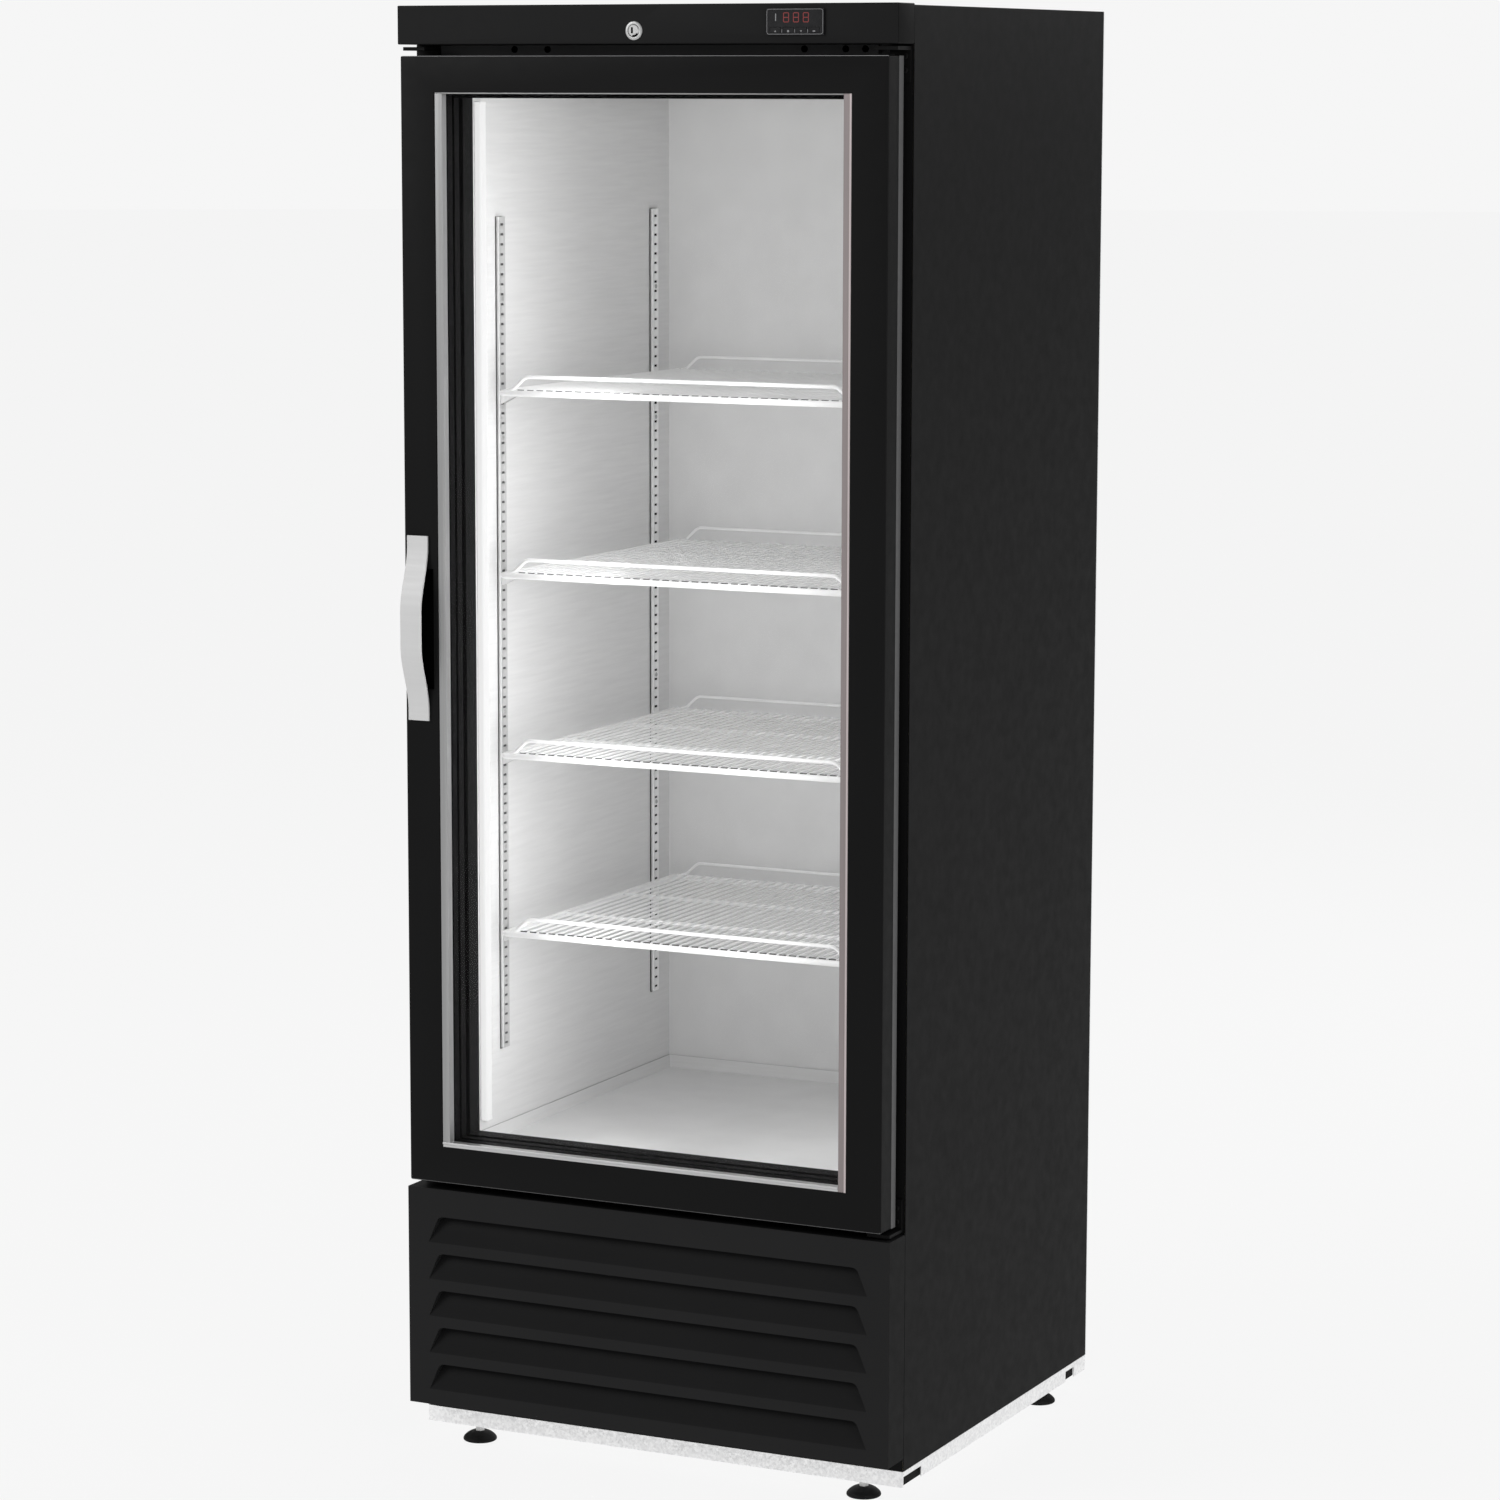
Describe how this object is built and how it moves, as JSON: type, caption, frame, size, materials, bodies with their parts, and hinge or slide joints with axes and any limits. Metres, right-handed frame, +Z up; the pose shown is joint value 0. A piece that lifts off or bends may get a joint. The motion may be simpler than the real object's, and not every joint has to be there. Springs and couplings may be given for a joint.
{
  "type": "reach-in refrigerator",
  "caption": "Upright single glass-door reach-in refrigerator with wire shelves, a keyed header with a digital thermostat, and a louvred machine compartment on leveling feet.",
  "frame": {"origin": "on the floor, at the middle of the footprint", "axes": "front faces -Y, +X to the right of a person facing the front, +Z up"},
  "size_m": [0.686, 0.694, 1.864],
  "materials": {
    "black_paint": "satin",
    "galvanised_steel": "spangled zinc",
    "liner_steel": "fine brushed",
    "insulation_foam": "cut foam",
    "black_plastic": "satin",
    "white_plastic": "satin",
    "grey_plastic": "satin",
    "red_lens": "gloss",
    "rubber": "matt",
    "anodised_aluminium": "satin anodised",
    "satin_steel": "satin",
    "zinc_steel": "zinc plated",
    "white_wire": "white coated",
    "clear_glass": "clear"
  },
  "bodies": {
    "cabinet": {"base_pan": "galvanised_steel", "side_panel_left": "black_paint", "side_panel_right": "black_paint", "top_panel": "black_paint", "back_panel": "galvanised_steel", "rear_grille": "galvanised_steel", "front_frame": "black_paint", "insulation_foam": "insulation_foam", "inner_liner": "liner_steel", "floor_tray": "liner_steel", "breaker_strip": "black_plastic", "header_panel": "black_paint", "lock_housing": "satin_steel", "controller_housing": "grey_plastic", "display_window": "red_lens", "hinge_plate_top": "black_paint", "hinge_plate_bottom": "black_paint", "hinge_plate_spare": "black_paint", "grille_panel": "black_paint", "pilaster_front_left": "zinc_steel", "pilaster_front_right": "zinc_steel", "pilaster_rear_left": "zinc_steel", "pilaster_rear_right": "zinc_steel", "light_bar_left": "white_plastic", "light_bar_right": "white_plastic", "evaporator_cover": "white_plastic", "evaporator_coil": "anodised_aluminium", "evaporator_fan_motor": "grey_plastic", "compressor": "black_paint", "condenser_coil": "anodised_aluminium", "fan_shroud": "galvanised_steel", "condenser_fan_motor": "black_paint", "evaporation_pan": "grey_plastic", "cord_gland": "black_plastic"},
    "door": {"door_frame": "black_paint", "door_inner_frame": "black_plastic", "window_trim": "anodised_aluminium", "glass_outer": "clear_glass", "glass_inner": "clear_glass", "glass_spacer": "black_plastic", "door_gasket": "rubber", "handle_pocket": "black_plastic", "door_handle": "satin_steel", "hinge_bush_top": "black_plastic", "hinge_bush_bottom": "black_plastic"},
    "lock": {"lock_plug": "satin_steel"},
    "evaporator_fan": {"evaporator_fan": "black_plastic"},
    "condenser_fan": {"condenser_fan": "grey_plastic"},
    "control_key_1": {"control_key_1": "grey_plastic"},
    "control_key_2": {"control_key_2": "grey_plastic"},
    "control_key_3": {"control_key_3": "grey_plastic"},
    "control_key_4": {"control_key_4": "grey_plastic"},
    "shelf_1": {"shelf_1": "white_wire"},
    "shelf_2": {"shelf_2": "white_wire"},
    "shelf_3": {"shelf_3": "white_wire"},
    "shelf_4": {"shelf_4": "white_wire"},
    "leveling_foot_front_left": {"leveling_foot_front_left": "rubber"},
    "leveling_foot_front_right": {"leveling_foot_front_right": "rubber"},
    "leveling_foot_rear_left": {"leveling_foot_rear_left": "rubber"},
    "leveling_foot_rear_right": {"leveling_foot_rear_right": "rubber"}
  },
  "joints": [
    {"name": "door_hinge", "type": "hinge", "parent": "cabinet", "child": "door", "pos_m": [0.32, -0.3, 1.0825], "axis": [0, 0, 1], "range_deg": [0, 120]},
    {"name": "lock_turn", "type": "hinge", "parent": "cabinet", "child": "lock", "pos_m": [-0.0098, -0.305, 1.832], "axis": [0, 1, 0], "range_deg": [0, 90]},
    {"name": "evaporator_fan_spin", "type": "hinge", "parent": "cabinet", "child": "evaporator_fan", "pos_m": [0, -0.05, 1.777], "axis": [0, 0, 1], "continuous": true},
    {"name": "condenser_fan_spin", "type": "hinge", "parent": "cabinet", "child": "condenser_fan", "pos_m": [0, -0.168, 0.175], "axis": [0, 1, 0], "continuous": true},
    {"name": "control_key_1_press", "type": "slide", "parent": "cabinet", "child": "control_key_1", "axis": [0, 1, 0], "range_m": [0, 0.0005], "stiffness_N_per_m": 2500},
    {"name": "control_key_2_press", "type": "slide", "parent": "cabinet", "child": "control_key_2", "axis": [0, 1, 0], "range_m": [0, 0.0005], "stiffness_N_per_m": 2500},
    {"name": "control_key_3_press", "type": "slide", "parent": "cabinet", "child": "control_key_3", "axis": [0, 1, 0], "range_m": [0, 0.0005], "stiffness_N_per_m": 2500},
    {"name": "control_key_4_press", "type": "slide", "parent": "cabinet", "child": "control_key_4", "axis": [0, 1, 0], "range_m": [0, 0.0005], "stiffness_N_per_m": 2500},
    {"name": "shelf_1_lift", "type": "slide", "parent": "cabinet", "child": "shelf_1", "axis": [0, 0, 1], "range_m": [0, 0.03]},
    {"name": "shelf_2_lift", "type": "slide", "parent": "cabinet", "child": "shelf_2", "axis": [0, 0, 1], "range_m": [0, 0.03]},
    {"name": "shelf_3_lift", "type": "slide", "parent": "cabinet", "child": "shelf_3", "axis": [0, 0, 1], "range_m": [0, 0.03]},
    {"name": "shelf_4_lift", "type": "slide", "parent": "cabinet", "child": "shelf_4", "axis": [0, 0, 1], "range_m": [0, 0.03]},
    {"name": "leveling_foot_front_left_screw", "type": "hinge", "parent": "cabinet", "child": "leveling_foot_front_left", "pos_m": [-0.278, -0.245, 0.03], "axis": [0, 0, 1], "continuous": true},
    {"name": "leveling_foot_front_right_screw", "type": "hinge", "parent": "cabinet", "child": "leveling_foot_front_right", "pos_m": [0.278, -0.245, 0.03], "axis": [0, 0, 1], "continuous": true},
    {"name": "leveling_foot_rear_left_screw", "type": "hinge", "parent": "cabinet", "child": "leveling_foot_rear_left", "pos_m": [-0.3145, 0.249, 0.03], "axis": [0, 0, 1], "continuous": true},
    {"name": "leveling_foot_rear_right_screw", "type": "hinge", "parent": "cabinet", "child": "leveling_foot_rear_right", "pos_m": [0.3145, 0.249, 0.03], "axis": [0, 0, 1], "continuous": true}
  ]
}
